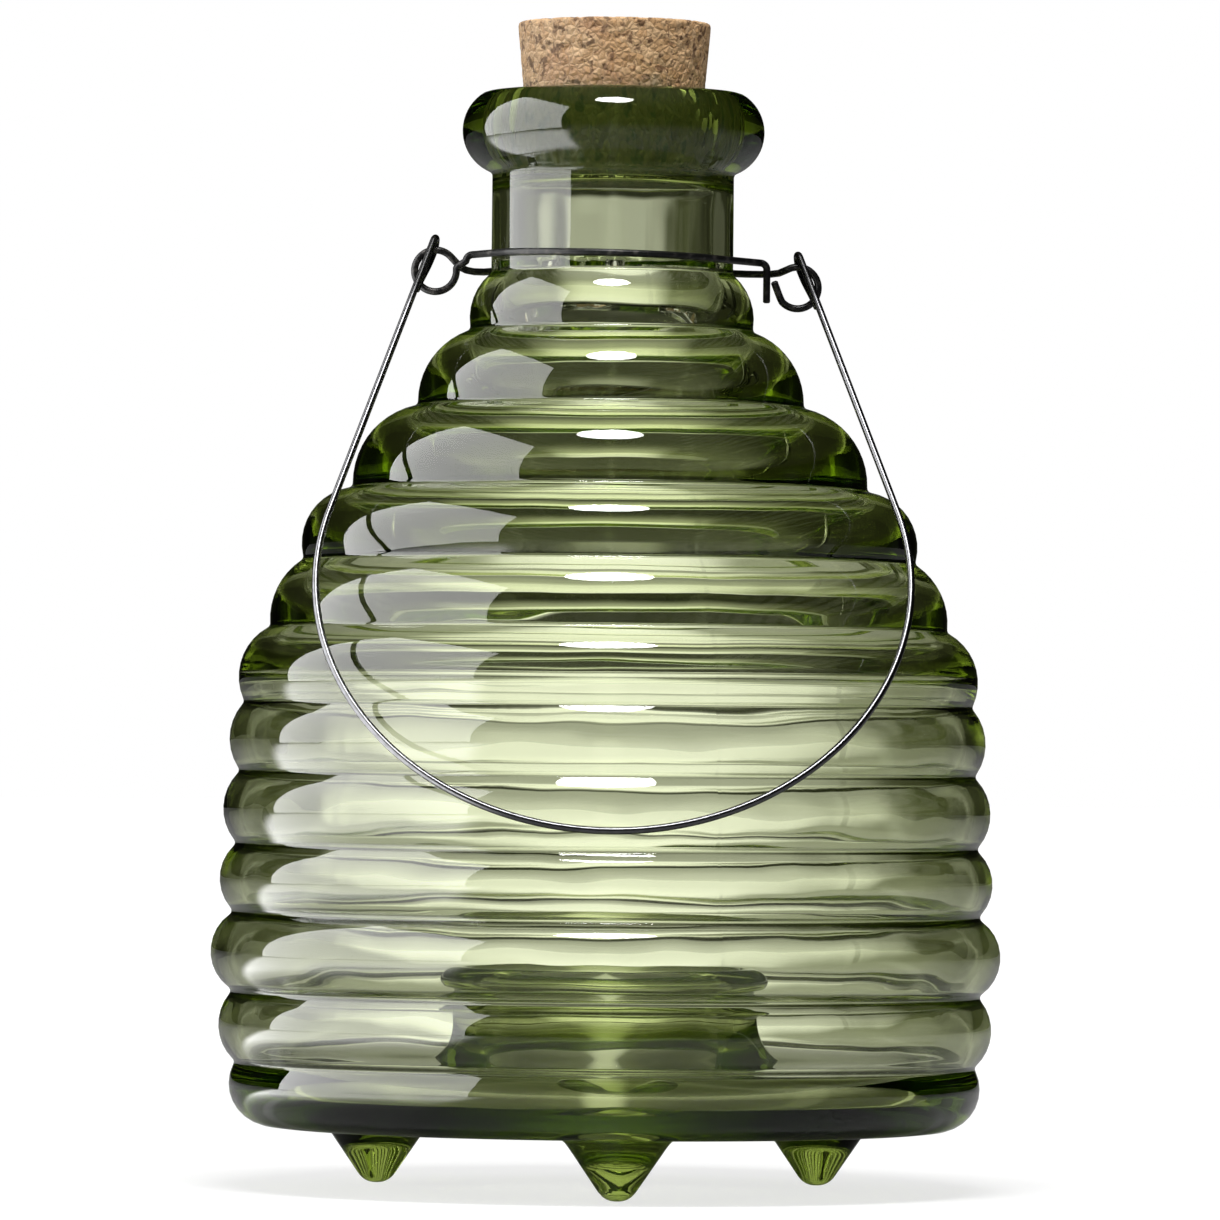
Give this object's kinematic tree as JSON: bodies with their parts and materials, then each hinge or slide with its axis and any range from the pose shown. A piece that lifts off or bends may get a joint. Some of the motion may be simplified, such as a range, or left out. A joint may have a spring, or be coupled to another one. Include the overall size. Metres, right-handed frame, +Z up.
{
  "type": "hanging glass fly trap",
  "caption": "Beehive-shaped ringed glass fly trap with an entry tube in its base, nub feet, a cork stopper and a wire bail for hanging.",
  "frame": {"origin": "on the bottle's axis, in the plane that the feet stand on", "axes": "+Z up along the bottle's axis, -Y towards the side that the bail rests against, +X to the right seen from there"},
  "size_m": [0.141, 0.141, 0.2085],
  "materials": {
    "green_glass": "thick olive-green blown glass, fire polished",
    "cork": "pressed cork granules",
    "black_wire": "black annealed iron wire",
    "bright_wire": "bright drawn steel wire, dark at its ends"
  },
  "bodies": {
    "bottle": {"glass_bottle": "green_glass", "neck_collar": "black_wire"},
    "bail": {"bail_handle": "bright_wire"},
    "cork": {"cork_stopper": "cork"}
  },
  "joints": [
    {"name": "bail_swing", "type": "hinge", "parent": "bottle", "child": "bail", "pos_m": [0.00075, 0, 0.1663], "axis": [-0.999, 0.025, 0.0379], "range_deg": [0, 291]},
    {"name": "cork_lift", "type": "slide", "parent": "bottle", "child": "cork", "axis": [0, 0, 1], "range_m": [0, 0.04]}
  ]
}
